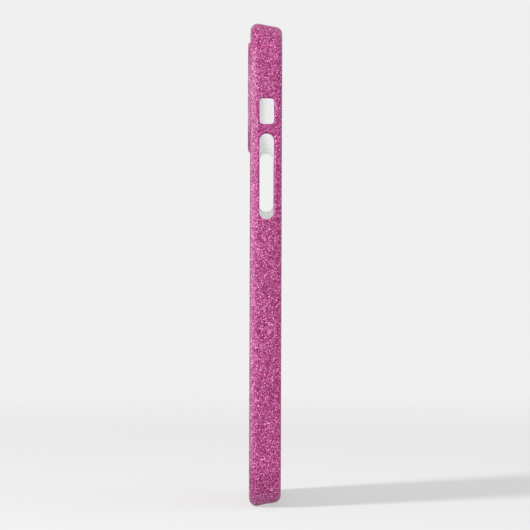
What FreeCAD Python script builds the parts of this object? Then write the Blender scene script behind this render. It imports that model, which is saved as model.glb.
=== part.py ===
"""A slim hard phone case: a white moulded shell with a printed glitter film over its outside.

Frame: +Z up, and the case stands on its bottom edge. The open side, where the screen shows, faces
-Y, and the back with the raised camera surround faces +Y. The origin is the middle of the bottom.
All sizes are millimetres and degrees.
"""

import FreeCAD, Part
import math
import os
from collections import namedtuple

import Sketcher
from FreeCAD import Placement, Rotation, Vector

doc = FreeCAD.newDocument("PhoneCase")


# ---------------------------------------------------------------- driving dimensions

SIZES = {
    # the phone that the case is moulded for: flat sides and round corners
    "phone_width": 71.5,
    "phone_length": 146.7,
    "phone_thick": 7.4,
    "phone_corner": 10.9,
    # the hollow is this much larger than the phone, on each side of it
    "fit_gap": 0.1,
    # walls, film included; the side wall is measured where it is widest
    "side_wall": 2.0,
    "back_wall": 1.4,
    "lip_thick": 1.0,
    "lip_reach": 1.45,
    "film_thick": 0.2,
    # the sides lean inward from back to front, and both outer edges are rounded
    "side_slope": 10.5,
    "edge_round": 2.3,
    "lip_round": 0.8,
    "floor_round": 1.0,
    # the openings' edges are softened: by a broad round outside in the bottom and the sides, where
    # the film follows it in, and by small ones round the window, the mouth and all inner edges
    "outer_rim_round": 0.7,
    "inner_rim_round": 0.3,
    "window_rim_round": 0.12,
    # raised camera surround and the window through it
    "surround_side": 36.0,
    "surround_corner": 9.5,
    "surround_rise": 0.9,
    "surround_slope": 45.0,
    "surround_margin": 3.1,
    "surround_round": 0.4,
    "window_side": 33.0,
    "window_corner": 8.2,
    # openings in the two long sides, as lengths along Z and heights above mid-length
    "slot_wide": 4.45,
    "mute_long": 7.9,
    "mute_corner": 1.0,
    "mute_up": 47.5,
    "volume_long": 26.5,
    "volume_up": 27.3,
    "power_long": 19.3,
    "power_up": 27.3,
    # openings in the bottom: the charging port and a sound slot on each side of it
    "port_long": 13.0,
    "port_wide": 5.0,
    "sound_long": 16.0,
    "sound_wide": 4.5,
    "sound_out": 19.0,
}

sheet = doc.addObject("Spreadsheet::Sheet", "Sizes")
for row, (alias, value) in enumerate(SIZES.items(), start=1):
    sheet.set(f"A{row}", alias)
    sheet.set(f"B{row}", str(value))
    sheet.setAlias(f"B{row}", alias)
doc.recompute()

# Worked-out sizes, as expressions that the features below are bound to.
HOLLOW_WIDTH = "(Sizes.phone_width + 2 * Sizes.fit_gap)"
HOLLOW_LENGTH = "(Sizes.phone_length + 2 * Sizes.fit_gap)"
HOLLOW_CORNER = "(Sizes.phone_corner + Sizes.fit_gap)"
HOLLOW_DEPTH = "(Sizes.phone_thick + Sizes.fit_gap)"
CASE_WIDTH = f"({HOLLOW_WIDTH} + 2 * Sizes.side_wall)"
CASE_LENGTH = f"({HOLLOW_LENGTH} + 2 * Sizes.side_wall)"
CASE_CORNER = f"({HOLLOW_CORNER} + Sizes.side_wall)"
LIP_BACK = f"(Sizes.back_wall + {HOLLOW_DEPTH})"
CASE_DEPTH = f"({LIP_BACK} + Sizes.lip_thick)"
SLOT_DEPTH = f"(Sizes.back_wall + {HOLLOW_DEPTH} / 2)"
SURROUND_OUT = f"({CASE_WIDTH} / 2 - Sizes.surround_margin - Sizes.surround_side / 2)"
SURROUND_UP = f"({CASE_LENGTH} / 2 - Sizes.surround_margin - Sizes.surround_side / 2)"
SLOPE = "(Sizes.side_slope * 1 deg)"
# Rounding a sloped edge takes this share of its radius off the widest outline.
ROUND_LOSS = f"(tan({SLOPE}) + 1 / cos({SLOPE}) - 1)"
# How far the flat of a side lies inside the widest outline, at the depth of the openings.
SLOT_LEAN = f"({SLOT_DEPTH} * tan({SLOPE}) - Sizes.edge_round * {ROUND_LOSS})"
# A surface moved inward by 1 mm shrinks a 45 degree chamfer's outline by this much on each side.
CHAMFER_LOSS = "(1 / cos(Sizes.surround_slope * 1 deg) - tan(Sizes.surround_slope * 1 deg))"

# A side with openings: the plane that its sketches are on, the sketch's axis that the side leans
# about, whether the side faces against the plane's normal, and the case's size across and along it.
Side = namedtuple("Side", "plane lean_axis against across along")
SIDES = {
    "left": Side("YZ_Plane", Vector(0, 1, 0), True, CASE_WIDTH, CASE_LENGTH),
    "right": Side("YZ_Plane", Vector(0, -1, 0), False, CASE_WIDTH, CASE_LENGTH),
    "bottom": Side("XY_Plane", Vector(-1, 0, 0), True, CASE_LENGTH, CASE_WIDTH),
}
# An opening: its side, length, width and place along the side, and the radius of its corners, or
# None for half-round ends.
Opening = namedtuple("Opening", "side long wide place corner")
OPENINGS = {
    "mute": Opening(
        "left", "Sizes.mute_long", "Sizes.slot_wide", "Sizes.mute_up", "Sizes.mute_corner"),
    "volume": Opening("left", "Sizes.volume_long", "Sizes.slot_wide", "Sizes.volume_up", None),
    "power": Opening("right", "Sizes.power_long", "Sizes.slot_wide", "Sizes.power_up", None),
    "port": Opening("bottom", "Sizes.port_long", "Sizes.port_wide", "0", None),
    "left_sound": Opening(
        "bottom", "Sizes.sound_long", "Sizes.sound_wide", "-Sizes.sound_out", None),
    "right_sound": Opening(
        "bottom", "Sizes.sound_long", "Sizes.sound_wide", "Sizes.sound_out", None),
}

# The cutting solids reach this far past the case, so no cut ends on one of its faces.
PAST = 3.0
# The solids that round the rims stand this far off the case, and their necks are this much
# narrower than the openings on each side, so none of their faces lies in one of the case's.
CLEAR = 0.01
NECK = 0.05
# Faces that meet at less than this angle make no sharp edge.
SHARP = math.radians(20)
# Two places that are no further apart than this are the same place.
SAME = 1e-4


# ---------------------------------------------------------------- helpers

def bind(thing, settings):
    """Binds properties of a document object to expressions, given as {property: expression}."""
    for name, expression in settings.items():
        thing.setExpression(name, str(expression))


def origin_plane(body, role):
    return next(f for f in body.Origin.OriginFeatures if f.Role == role)


def sketch_on(body, name, role, shift=(0, 0, 0), lean_axis=None):
    """A sketch on one of the body's own planes, moved by expressions along its x, y and normal,
    and leaning with the case's sides, about an axis of the sketch, if an axis is given."""
    sketch = body.newObject("Sketcher::SketchObject", name)
    sketch.AttachmentSupport = [(origin_plane(body, role), "")]
    sketch.MapMode = "FlatFace"
    if lean_axis is not None:
        sketch.AttachmentOffset = Placement(Vector(), Rotation(lean_axis, 1))
        bind(sketch, {"AttachmentOffset.Rotation.Angle": SLOPE})
    bind(sketch, {f"AttachmentOffset.Base.{axis}": by for axis, by in zip("xyz", shift)})
    doc.recompute()
    return sketch


def name_size(sketch, name, constraint, value, expression):
    """Adds a dimension, given as a constraint without its value, and binds it to its expression."""
    index = sketch.addConstraint(Sketcher.Constraint(*constraint, value))
    sketch.renameConstraint(index, name)
    sketch.setExpression(f"Constraints.{name}", expression)


def arc(centre, radius, start, end):
    """An arc in the sketch's plane, from the start angle to the end angle in degrees."""
    circle = Part.Circle(centre, Vector(0, 0, 1), radius)
    return Part.ArcOfCircle(circle, math.radians(start), math.radians(end))


def join_arcs(sketch, arcs):
    """Joins arcs into one outline with tangent lines, and returns the lines."""
    lines = []
    for this, following in zip(arcs, arcs[1:] + arcs[:1]):
        ends = sketch.Geometry[this].EndPoint, sketch.Geometry[following].StartPoint
        line = sketch.addGeometry(Part.LineSegment(*ends))
        sketch.addConstraint(Sketcher.Constraint("Tangent", this, 2, line, 1))
        sketch.addConstraint(Sketcher.Constraint("Tangent", line, 2, following, 1))
        lines.append(line)
    return lines


def rounded_rectangle(sketch, width, height, corner):
    """A rounded rectangle about the sketch's origin, its three sizes given as expressions."""
    radius = sketch.evalExpression(corner)
    across = sketch.evalExpression(width) - 2 * radius
    upward = sketch.evalExpression(height) - 2 * radius
    centres = [Vector(x * across / 2, y * upward / 2, 0) for x, y in
               ((1, 1), (-1, 1), (-1, -1), (1, -1))]
    arcs = [sketch.addGeometry(arc(centre, radius, 90 * i, 90 * (i + 1)))
            for i, centre in enumerate(centres)]
    for line, way in zip(join_arcs(sketch, arcs), ("Horizontal", "Vertical") * 2):
        sketch.addConstraint(Sketcher.Constraint(way, line))
    for other in arcs[1:]:
        sketch.addConstraint(Sketcher.Constraint("Equal", arcs[0], other))
    # Opposite corners have their centres on either side of the sketch's origin.
    sketch.addConstraint(Sketcher.Constraint("Symmetric", arcs[0], 3, arcs[2], 3, -1, 1))
    name_size(sketch, "corner", ("Radius", arcs[0]), radius, corner)
    name_size(sketch, "across", ("DistanceX", arcs[1], 3, arcs[0], 3), across,
              f"{width} - 2 * {corner}")
    name_size(sketch, "upward", ("DistanceY", arcs[3], 3, arcs[0], 3), upward,
              f"{height} - 2 * {corner}")


def stadium(sketch, length, width, standing):
    """A slot with half-round ends about the sketch's origin, along the sketch's y if standing."""
    radius = sketch.evalExpression(width) / 2
    between = sketch.evalExpression(length) - 2 * radius
    along = Vector(0, 1, 0) if standing else Vector(1, 0, 0)
    turned = 0 if standing else -90
    arcs = [sketch.addGeometry(arc(along * (side * between / 2), radius, start, start + 180))
            for side, start in ((1, turned), (-1, turned + 180))]
    lines = join_arcs(sketch, arcs)
    sketch.addConstraint(Sketcher.Constraint("Vertical" if standing else "Horizontal", lines[0]))
    sketch.addConstraint(Sketcher.Constraint("Symmetric", arcs[0], 3, arcs[1], 3, -1, 1))
    name_size(sketch, "end_radius", ("Radius", arcs[0]), radius, f"{width} / 2")
    name_size(sketch, "between", ("DistanceY" if standing else "DistanceX", arcs[1], 3, arcs[0], 3),
              between, f"{length} - {width}")


def pad(body, name, sketch, length, backward=False, taper=None):
    """Adds the sketch's prism to the body, along its normal or against it."""
    feature = body.newObject("PartDesign::Pad", name)
    feature.Profile = sketch
    feature.Reversed = backward
    bind(feature, {"Length": length})
    if taper is not None:
        bind(feature, {"TaperAngle": taper})
    doc.recompute()
    body.Tip = feature
    return feature


def round_edges(body, name, base, radius, chosen):
    """Rounds the edges of base that chosen(edge) picks."""
    names = [f"Edge{i}" for i, edge in enumerate(base.Shape.Edges, start=1) if chosen(edge)]
    feature = body.newObject("PartDesign::Fillet", name)
    feature.Base = (base, names)
    feature.UseAllEdges = False
    bind(feature, {"Radius": radius})
    doc.recompute()
    body.Tip = feature
    return feature


def at_depth(edge, y):
    """True if the whole edge lies in the plane at this y."""
    return abs(edge.BoundBox.YMin - y) < SAME and abs(edge.BoundBox.YMax - y) < SAME


def middle_of(edge):
    return edge.valueAt((edge.FirstParameter + edge.LastParameter) / 2)


def is_sharp(shape, edge, hollow):
    """True if the solid has a sharp edge there: a hollow one, as at the foot of a step, or one
    that stands out."""
    sides = shape.ancestorsOfType(edge, Part.Face)
    if len(sides) != 2:
        return False
    middle = middle_of(edge)
    one, other = [side.normalAt(*side.Surface.parameter(middle)) for side in sides]
    if one.getAngle(other) < SHARP:
        return False
    beside = middle + (one - other) * CLEAR
    return shape.isInside(beside, SAME, False) == hollow


# ---------------------------------------------------------------- outer and core forms

def case_form(name, inset):
    """The case's outside as a solid block, with every surface moved inward by inset.

    In a form's own frame the back face lies in the plane y = 0 and the front is at -Y.
    """
    body = doc.addObject("PartDesign::Body", name)
    round_r = f"(Sizes.edge_round - {inset})"
    grow = f"(2 * ({round_r} * {ROUND_LOSS} - {inset}))"

    outline = sketch_on(body, f"{name}_outline", "XZ_Plane", (0, 0, inset))
    rounded_rectangle(
        outline, f"({CASE_WIDTH} + {grow})", f"({CASE_LENGTH} + {grow})",
        f"({CASE_CORNER} + {grow} / 2)")
    block = pad(body, f"{name}_block", outline, f"{CASE_DEPTH} - 2 * {inset}",
                taper="-Sizes.side_slope")
    back_y, front_y = block.Shape.BoundBox.YMax, block.Shape.BoundBox.YMin
    rounded = round_edges(
        body, f"{name}_rounded", block, round_r,
        lambda edge: at_depth(edge, back_y) or at_depth(edge, front_y))

    foot = sketch_on(
        body, f"{name}_surround_foot", "XZ_Plane", (SURROUND_OUT, SURROUND_UP, inset))
    shrink = f"({inset} * {CHAMFER_LOSS})"
    rounded_rectangle(
        foot, f"(Sizes.surround_side - 2 * {shrink})", f"(Sizes.surround_side - 2 * {shrink})",
        f"(Sizes.surround_corner - {shrink})")
    raised = pad(body, f"{name}_surround", foot, "Sizes.surround_rise", backward=True,
                 taper="-Sizes.surround_slope")
    top_y = raised.Shape.BoundBox.YMax
    round_edges(body, f"{name}_surround_rounded", raised,
                f"(Sizes.surround_round - {inset})", lambda edge: at_depth(edge, top_y))
    return body


outer_form = case_form("outer_form", "0")
core_form = case_form("core_form", "Sizes.film_thick")


# ---------------------------------------------------------------- the hollow and the openings

def upright(side):
    """True if the side's openings run up the case, along the sketch's y."""
    return side.plane == "YZ_Plane"


def on_side(side, along, out):
    """Where a sketch goes for a place along a side, at the openings' depth, this far out."""
    out = f"-{out}" if side.against else out
    return (f"-{SLOT_DEPTH}", along, out) if upright(side) else (along, f"-{SLOT_DEPTH}", out)


def add_opening(body, name, out, length, narrower):
    """An opening's prism, from this far out to the outside, with its outline moved inward."""
    opening = OPENINGS[name]
    side = SIDES[opening.side]
    outline = sketch_on(body, f"{name}_outline", side.plane, on_side(side, opening.place, out))
    long, wide = f"({opening.long} - 2 * {narrower})", f"({opening.wide} - 2 * {narrower})"
    if opening.corner is None:
        stadium(outline, long, wide, upright(side))
    else:
        rounded_rectangle(outline, wide, long, f"({opening.corner} - {narrower})")
    pad(body, f"{name}_opening", outline, length, backward=side.against)


def make_hollow():
    """Everything that is open in the case, as one solid: the phone's hollow, the mouth inside the
    lip, the camera window and the openings in the sides and the bottom."""
    body = doc.addObject("PartDesign::Body", "hollow")

    seat = sketch_on(body, "hollow_seat", "XZ_Plane", (0, 0, "Sizes.back_wall"))
    rounded_rectangle(seat, HOLLOW_WIDTH, HOLLOW_LENGTH, HOLLOW_CORNER)
    room = pad(body, "phone_room", seat, HOLLOW_DEPTH)
    floor_y, lip_y = room.Shape.BoundBox.YMax, room.Shape.BoundBox.YMin
    room = round_edges(body, "under_lip", room, "Sizes.lip_round",
                       lambda edge: at_depth(edge, lip_y))
    round_edges(body, "round_floor", room, "Sizes.floor_round",
                lambda edge: at_depth(edge, floor_y))

    mouth = sketch_on(body, "mouth_outline", "XZ_Plane", (0, 0, f"{LIP_BACK} - 1"))
    rounded_rectangle(
        mouth, f"({HOLLOW_WIDTH} - 2 * Sizes.lip_reach)",
        f"({HOLLOW_LENGTH} - 2 * Sizes.lip_reach)", f"({HOLLOW_CORNER} - Sizes.lip_reach)")
    pad(body, "mouth", mouth, f"Sizes.lip_thick + 1 + {PAST}")

    window = sketch_on(
        body, "window_outline", "XZ_Plane",
        (SURROUND_OUT, SURROUND_UP, "Sizes.back_wall + 1"))
    rounded_rectangle(window, "Sizes.window_side", "Sizes.window_side", "Sizes.window_corner")
    pad(body, "camera_window", window,
        f"Sizes.back_wall + 1 + Sizes.surround_rise + {PAST}", backward=True)

    for name, opening in OPENINGS.items():
        add_opening(body, name, "0", f"{SIDES[opening.side].across} / 2 + {PAST}", "0")

    openings = body.Tip
    round_edges(body, "inner_rims", openings, "Sizes.inner_rim_round",
                lambda edge: is_sharp(openings.Shape, edge, hollow=True))
    return body


hollow = make_hollow()


# ---------------------------------------------------------------- the two pieces

def cut(name, base, tool):
    feature = doc.addObject("Part::Cut", name)
    feature.Base = base
    feature.Tool = tool
    feature.Refine = False
    return feature


def soften_rims(form, inset):
    """The form with a broad round sunk into each side where the openings' outer rims will be.

    The round is the foot of a neck that stands on a plate, and the plate lies along the side.
    """
    for where, side in SIDES.items():
        body = doc.addObject("PartDesign::Body", f"{form.Name}_{where}_rims")
        face = f"({side.across} / 2 - {SLOT_LEAN} - {inset} / cos({SLOPE}) + {CLEAR})"
        plate = sketch_on(body, f"{where}_plate_outline", side.plane, on_side(side, "0", face),
                          side.lean_axis)
        stadium(plate, side.along, CASE_DEPTH, upright(side))
        pad(body, f"{where}_plate", plate, PAST, backward=side.against)
        neck = "2 * Sizes.outer_rim_round"
        for name, opening in OPENINGS.items():
            if opening.side == where:
                add_opening(body, name, f"({face} - {neck})", f"{neck} + {PAST} / 2", NECK)
        necks = body.Tip
        round_edges(body, f"{where}_rims", necks, "Sizes.outer_rim_round",
                    lambda edge: is_sharp(necks.Shape, edge, hollow=True))
        form = cut(f"{body.Name}_cut", form, body)
    return form


def make_film(blank):
    """The film with the outer edges of the window and of the mouth softened."""
    body = doc.addObject("PartDesign::Body", "glitter_film")
    body.BaseFeature = blank
    doc.recompute()
    base = body.Tip
    box = outer_form.Shape.optimalBoundingBox(False)
    round_edges(
        body, "window_rims", base, "Sizes.window_rim_round",
        lambda edge: is_sharp(base.Shape, edge, hollow=False)
        and (at_depth(edge, box.YMin) or at_depth(edge, box.YMax)))
    return body


def place(piece):
    """Stands the piece on its bottom edge, with the middle of its whole depth at y = 0."""
    piece.Placement = Placement(Vector(0, 0, 0), Rotation())
    bind(piece, {
        "Placement.Base.y": f"({CASE_DEPTH} - Sizes.surround_rise) / 2",
        "Placement.Base.z": f"{CASE_LENGTH} / 2",
    })


soft_outer = soften_rims(outer_form, "0")
soft_core = soften_rims(core_form, "Sizes.film_thick")
shell = cut("shell", soft_core, hollow)
film_skin = cut("film_skin", soft_outer, soft_core)
film_blank = cut("film_blank", film_skin, hollow)
doc.recompute()
glitter_film = make_film(film_blank)
pieces = [shell, glitter_film]
for piece in pieces:
    piece.Label = piece.Name
    place(piece)
doc.recompute()


# ---------------------------------------------------------------- checks and files

for thing in doc.Objects:
    failed = [state for state in thing.State if state in ("Invalid", "Error")]
    if failed:
        raise RuntimeError(f"{thing.Name} did not compute: {failed}")
for piece in pieces:
    if piece.Shape.isNull() or not piece.Shape.isValid() or len(piece.Shape.Solids) != 1:
        raise RuntimeError(f"{piece.Label} is not one valid solid")

os.makedirs("parts", exist_ok=True)
for piece in pieces:
    piece.Shape.exportStep(f"parts/{piece.Label}.step")
    box = piece.Shape.optimalBoundingBox(False)
    print(f"{piece.Label}: {piece.Shape.Volume / 1000:.3f} cm3,"
          f" x {box.XMin:.2f} to {box.XMax:.2f}, y {box.YMin:.2f} to {box.YMax:.2f},"
          f" z {box.ZMin:.2f} to {box.ZMax:.2f}")
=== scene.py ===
"""Looks for the phone case: pink glitter outside, white moulded plastic inside, in a pale studio."""

import math

import bpy
from mathutils import Matrix, Vector


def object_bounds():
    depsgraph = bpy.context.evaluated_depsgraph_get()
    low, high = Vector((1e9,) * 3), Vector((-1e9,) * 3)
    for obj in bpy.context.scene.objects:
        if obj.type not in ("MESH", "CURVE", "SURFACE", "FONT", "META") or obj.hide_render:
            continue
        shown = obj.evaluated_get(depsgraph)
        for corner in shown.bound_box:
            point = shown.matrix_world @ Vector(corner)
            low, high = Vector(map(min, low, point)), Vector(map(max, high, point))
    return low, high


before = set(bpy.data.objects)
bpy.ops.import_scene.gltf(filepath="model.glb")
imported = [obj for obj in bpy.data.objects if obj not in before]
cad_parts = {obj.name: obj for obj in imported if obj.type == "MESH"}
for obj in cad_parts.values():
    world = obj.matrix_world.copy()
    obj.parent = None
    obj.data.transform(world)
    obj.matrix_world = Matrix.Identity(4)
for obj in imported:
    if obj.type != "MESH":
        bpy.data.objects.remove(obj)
cad_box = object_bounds()

MM = 0.001
CASE_LOW, CASE_HIGH = cad_box
HALF_WIDTH = (CASE_HIGH[0] - CASE_LOW[0]) / 2
MID_HEIGHT = (CASE_HIGH[2] + CASE_LOW[2]) / 2
MIDDLE = Vector((0, 0, MID_HEIGHT))


# ---------------------------------------------------------------- camera

LENS = 211.08
CAMERA_AWAY = 0.960              # from the case's -X side
CAMERA_ASIDE = -0.26 * MM
CAMERA_LIFT = -0.09 * MM
CAMERA_ROLL = math.radians(0.19)


def make_camera():
    """Faces the -X side, level with the case's middle."""
    data = bpy.data.cameras.new("camera")
    data.sensor_width = 36.0
    data.lens = LENS
    data.clip_start, data.clip_end = 0.01, 50.0
    camera = bpy.data.objects.new("camera", data)
    bpy.context.scene.collection.objects.link(camera)
    forward = Vector((1, 0, 0))
    up = Vector((0, math.sin(CAMERA_ROLL), math.cos(CAMERA_ROLL)))
    right = forward.cross(up)
    turn = Matrix((right, up, -forward)).transposed().to_4x4()
    place = Vector((-HALF_WIDTH - CAMERA_AWAY, CAMERA_ASIDE, MID_HEIGHT + CAMERA_LIFT))
    camera.matrix_world = Matrix.Translation(place) @ turn
    bpy.context.scene.camera = camera


make_camera()


# ---------------------------------------------------------------- floor and lights

BACKGROUND = 0.871               # linear brightness of the white surroundings
FLOOR_RADIUS = 4.0
FLOOR_WHITE = 0.2
FLOOR_GLOW = 0.480               # the floor's own light, so that it stays even beside the case
FLOOR_FADES_FROM = 0.22          # distance from the case where the floor starts to blend in
FLOOR_FADES_TO = 0.9

KEY_AWAY = 0.50
KEY_RISE = math.radians(39)
KEY_TURN = math.radians(37.5)    # from +Y towards the camera
KEY_SPREAD = math.radians(7)     # half of the angle that the lamp fills, seen from the case
KEY_ON_FLOOR = 66.0
KEY_ON_CASE = 16.0

# place, diameter, watts
FRONT_FILL = (-0.80, 0.0, 0.35), 0.30, 2.0
LEFT_EDGE = (-0.48, 0.45, 0.28), 0.40, 6.5
BACK_EDGE = (0.0, 0.60, 0.10), 0.20, 3.0


def grey(value):
    return (value, value, value, 1)


def make_floor():
    """A white floor that blends into the surroundings away from the case."""
    bpy.ops.mesh.primitive_circle_add(vertices=96, radius=FLOOR_RADIUS, fill_type="NGON")
    floor = bpy.context.active_object
    floor.name = "floor"
    material = bpy.data.materials.new("floor")
    material.use_nodes = True
    tree = material.node_tree
    shader = tree.nodes["Principled BSDF"]
    shader.inputs["Base Color"].default_value = grey(FLOOR_WHITE)
    shader.inputs["Roughness"].default_value = 1.0
    shader.inputs["Specular IOR Level"].default_value = 0.0
    shader.inputs["Emission Color"].default_value = grey(1)
    shader.inputs["Emission Strength"].default_value = FLOOR_GLOW
    far = tree.nodes.new("ShaderNodeEmission")
    far.inputs["Color"].default_value = grey(BACKGROUND)
    place = tree.nodes.new("ShaderNodeNewGeometry")
    away = tree.nodes.new("ShaderNodeVectorMath")
    away.operation = "LENGTH"
    tree.links.new(place.outputs["Position"], away.inputs[0])
    blend = tree.nodes.new("ShaderNodeMapRange")
    blend.interpolation_type = "SMOOTHSTEP"
    blend.inputs["From Min"].default_value = FLOOR_FADES_FROM
    blend.inputs["From Max"].default_value = FLOOR_FADES_TO
    tree.links.new(away.outputs["Value"], blend.inputs["Value"])
    mix = tree.nodes.new("ShaderNodeMixShader")
    tree.links.new(blend.outputs["Result"], mix.inputs["Fac"])
    tree.links.new(shader.outputs[0], mix.inputs[1])
    tree.links.new(far.outputs[0], mix.inputs[2])
    tree.links.new(mix.outputs[0], tree.nodes["Material Output"].inputs["Surface"])
    floor.data.materials.append(material)
    return floor


def light_only(lamp, things):
    """The lamp reaches only these objects, though everything casts its shadow."""
    group = bpy.data.collections.new(f"{lamp.name}_lights")
    for thing in things:
        group.objects.link(thing)
    lamp.light_linking.receiver_collection = group


def add_lamp(name, data, place, things):
    """Faces the middle of the case, and the camera doesn't see it."""
    lamp = bpy.data.objects.new(name, data)
    lamp.location = place
    lamp.rotation_euler = (MIDDLE - place).to_track_quat("-Z", "Y").to_euler()
    lamp.visible_camera = False
    bpy.context.scene.collection.objects.link(lamp)
    light_only(lamp, things)
    return lamp


def add_key(name, strength, things):
    """A soft round lamp high on the front left, equally strong at every distance."""
    height = KEY_AWAY * math.tan(KEY_RISE)
    data = bpy.data.lights.new(name, "POINT")
    data.shadow_soft_size = math.hypot(KEY_AWAY, height) * math.tan(KEY_SPREAD)
    data.energy = 1.0
    data.use_nodes = True
    tree = data.node_tree
    even = tree.nodes.new("ShaderNodeLightFalloff")
    even.inputs["Strength"].default_value = strength
    tree.links.new(even.outputs["Constant"], tree.nodes["Emission"].inputs["Strength"])
    place = Vector((-math.sin(KEY_TURN) * KEY_AWAY, math.cos(KEY_TURN) * KEY_AWAY, height))
    return add_lamp(name, data, place, things)


def add_panel(name, place, size, power, things):
    """A round soft panel facing the case."""
    data = bpy.data.lights.new(name, "AREA")
    data.shape = "DISK"
    data.size = size
    data.energy = power
    return add_lamp(name, data, Vector(place), things)


def make_studio():
    world = bpy.data.worlds.new("studio")
    bpy.context.scene.world = world
    world.use_nodes = True
    world.node_tree.nodes["Background"].inputs["Color"].default_value = grey(BACKGROUND)
    case = list(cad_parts.values())
    add_key("floor_key", KEY_ON_FLOOR, [make_floor()])
    # The key's reflection would burn out the edges, so the two edge panels give the gloss instead.
    add_key("case_key", KEY_ON_CASE, case).visible_glossy = False
    add_panel("front_fill", *FRONT_FILL, case)
    add_panel("left_edge", *LEFT_EDGE, case).visible_diffuse = False
    add_panel("back_edge", *BACK_EDGE, case).visible_diffuse = False


make_studio()
bpy.context.scene.view_settings.view_transform = "Standard"


# ---------------------------------------------------------------- materials

def new_material(name):
    material = bpy.data.materials.new(name)
    material.use_nodes = True
    tree = material.node_tree
    return material, tree, tree.nodes["Principled BSDF"]


FLAKE = 0.21 * MM                # size of one flake
FLAKE_TILT = 0.25                # how far the flakes lean
FLAKE_ROUGH = 0.38, 0.52
FLAKE_SPECULAR = 0.25
PATCH = 1.1 * MM                 # flakes lie unevenly, in patches of about this size
PATCH_SHADE = 0.30
# Flake base colours: dark to light flakes at random, and at the near-white top end a painted glint
# for flakes catching the light
FLAKE_SHADES_AND_GLINTS = (
    (0.00, (0.090, 0.000, 0.028, 1)),
    (0.25, (0.180, 0.004, 0.070, 1)),
    (0.50, (0.310, 0.022, 0.148, 1)),
    (0.75, (0.450, 0.060, 0.250, 1)),
    (0.90, (0.660, 0.150, 0.410, 1)),
    (1.00, (0.980, 0.450, 0.760, 1)),
)

CLOUD = 9 * MM                   # the white shade changes over about this distance
WHITE_SHADES = (
    (0.35, (0.738, 0.740, 0.748, 1)),
    (0.65, (0.752, 0.752, 0.756, 1)),
)
RUBBED = 3 * MM                  # the gloss changes over about this distance
WHITE_ROUGH = 0.24, 0.46
GRAIN = 0.30 * MM
GRAIN_DEPTH = 0.02 * MM
GRAIN_STRENGTH = 0.35


def vector_math(tree, operation, first, second=None):
    """The second input is a link, a plain vector, or a number to scale by."""
    node = tree.nodes.new("ShaderNodeVectorMath")
    node.operation = operation
    tree.links.new(first, node.inputs[0])
    if isinstance(second, bpy.types.NodeSocket):
        tree.links.new(second, node.inputs[1])
    elif isinstance(second, tuple):
        node.inputs[1].default_value = second
    elif second is not None:
        node.inputs["Scale"].default_value = second
    return node.outputs["Vector"]


def spread(tree, value, low, high):
    """A value from 0 to 1, spread over low to high."""
    node = tree.nodes.new("ShaderNodeMapRange")
    node.inputs["To Min"].default_value = low
    node.inputs["To Max"].default_value = high
    tree.links.new(value, node.inputs["Value"])
    return node.outputs["Result"]


def shade(tree, value, stops):
    """A value from 0 to 1, turned into a colour."""
    node = tree.nodes.new("ShaderNodeValToRGB")
    ramp = node.color_ramp
    while len(ramp.elements) < len(stops):
        ramp.elements.new(1.0)
    for element, (place, colour) in zip(ramp.elements, stops):
        element.position = place
        element.color = colour
    tree.links.new(value, node.inputs[0])
    return node.outputs[0]


def noise(tree, coordinates, size, detail):
    node = tree.nodes.new("ShaderNodeTexNoise")
    node.inputs["Scale"].default_value = 1 / size
    node.inputs["Detail"].default_value = detail
    tree.links.new(coordinates, node.inputs["Vector"])
    return node.outputs[0]


def make_glitter():
    """Fine flakes in a clear binder: each cell has its own shade, gloss and lean. The shades are
    partly the flakes' own random tone; their near-white top end is a painted glint.
    """
    material, tree, shader = new_material("pink_glitter_film")
    coordinates = tree.nodes.new("ShaderNodeTexCoord").outputs["Object"]
    cells = tree.nodes.new("ShaderNodeTexVoronoi")
    cells.inputs["Scale"].default_value = 1 / FLAKE
    tree.links.new(coordinates, cells.inputs["Vector"])
    chances = tree.nodes.new("ShaderNodeSeparateColor")
    tree.links.new(cells.outputs["Color"], chances.inputs[0])

    patches = noise(tree, coordinates, PATCH, 1.0)
    patches = spread(tree, patches, -PATCH_SHADE / 2, PATCH_SHADE / 2)
    brightness = tree.nodes.new("ShaderNodeMath")
    brightness.operation = "ADD"
    tree.links.new(chances.outputs[0], brightness.inputs[0])
    tree.links.new(patches, brightness.inputs[1])
    # base colour from the flake shades, the brightest of them painted glints
    tree.links.new(shade(tree, brightness.outputs[0], FLAKE_SHADES_AND_GLINTS), shader.inputs["Base Color"])

    normal = tree.nodes.new("ShaderNodeNewGeometry").outputs["Normal"]
    leans = tree.nodes.new("ShaderNodeTexWhiteNoise")
    tree.links.new(cells.outputs["Position"], leans.inputs["Vector"])
    centred = vector_math(tree, "SUBTRACT", leans.outputs["Color"], (0.5, 0.5, 0.5))
    lean = vector_math(tree, "SCALE", centred, FLAKE_TILT)
    tilted = vector_math(tree, "NORMALIZE", vector_math(tree, "ADD", normal, lean))
    tree.links.new(tilted, shader.inputs["Normal"])
    tree.links.new(spread(tree, chances.outputs[2], *FLAKE_ROUGH), shader.inputs["Roughness"])
    shader.inputs["Specular IOR Level"].default_value = FLAKE_SPECULAR
    return material


def make_white():
    """White moulded plastic: a fine satin grain, and gloss and shade that vary a little."""
    material, tree, shader = new_material("white_shell")
    coordinates = tree.nodes.new("ShaderNodeTexCoord").outputs["Object"]
    clouds = noise(tree, coordinates, CLOUD, 3.0)
    tree.links.new(shade(tree, clouds, WHITE_SHADES), shader.inputs["Base Color"])
    rubbed = noise(tree, coordinates, RUBBED, 4.0)
    tree.links.new(spread(tree, rubbed, *WHITE_ROUGH), shader.inputs["Roughness"])
    grain = tree.nodes.new("ShaderNodeBump")
    grain.inputs["Strength"].default_value = GRAIN_STRENGTH
    grain.inputs["Distance"].default_value = GRAIN_DEPTH
    tree.links.new(noise(tree, coordinates, GRAIN, 2.0), grain.inputs["Height"])
    tree.links.new(grain.outputs[0], shader.inputs["Normal"])
    return material


def dress(node, material):
    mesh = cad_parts[node].data
    mesh.materials.clear()
    mesh.materials.append(material)


dress("glitter_film", make_glitter())
dress("shell", make_white())
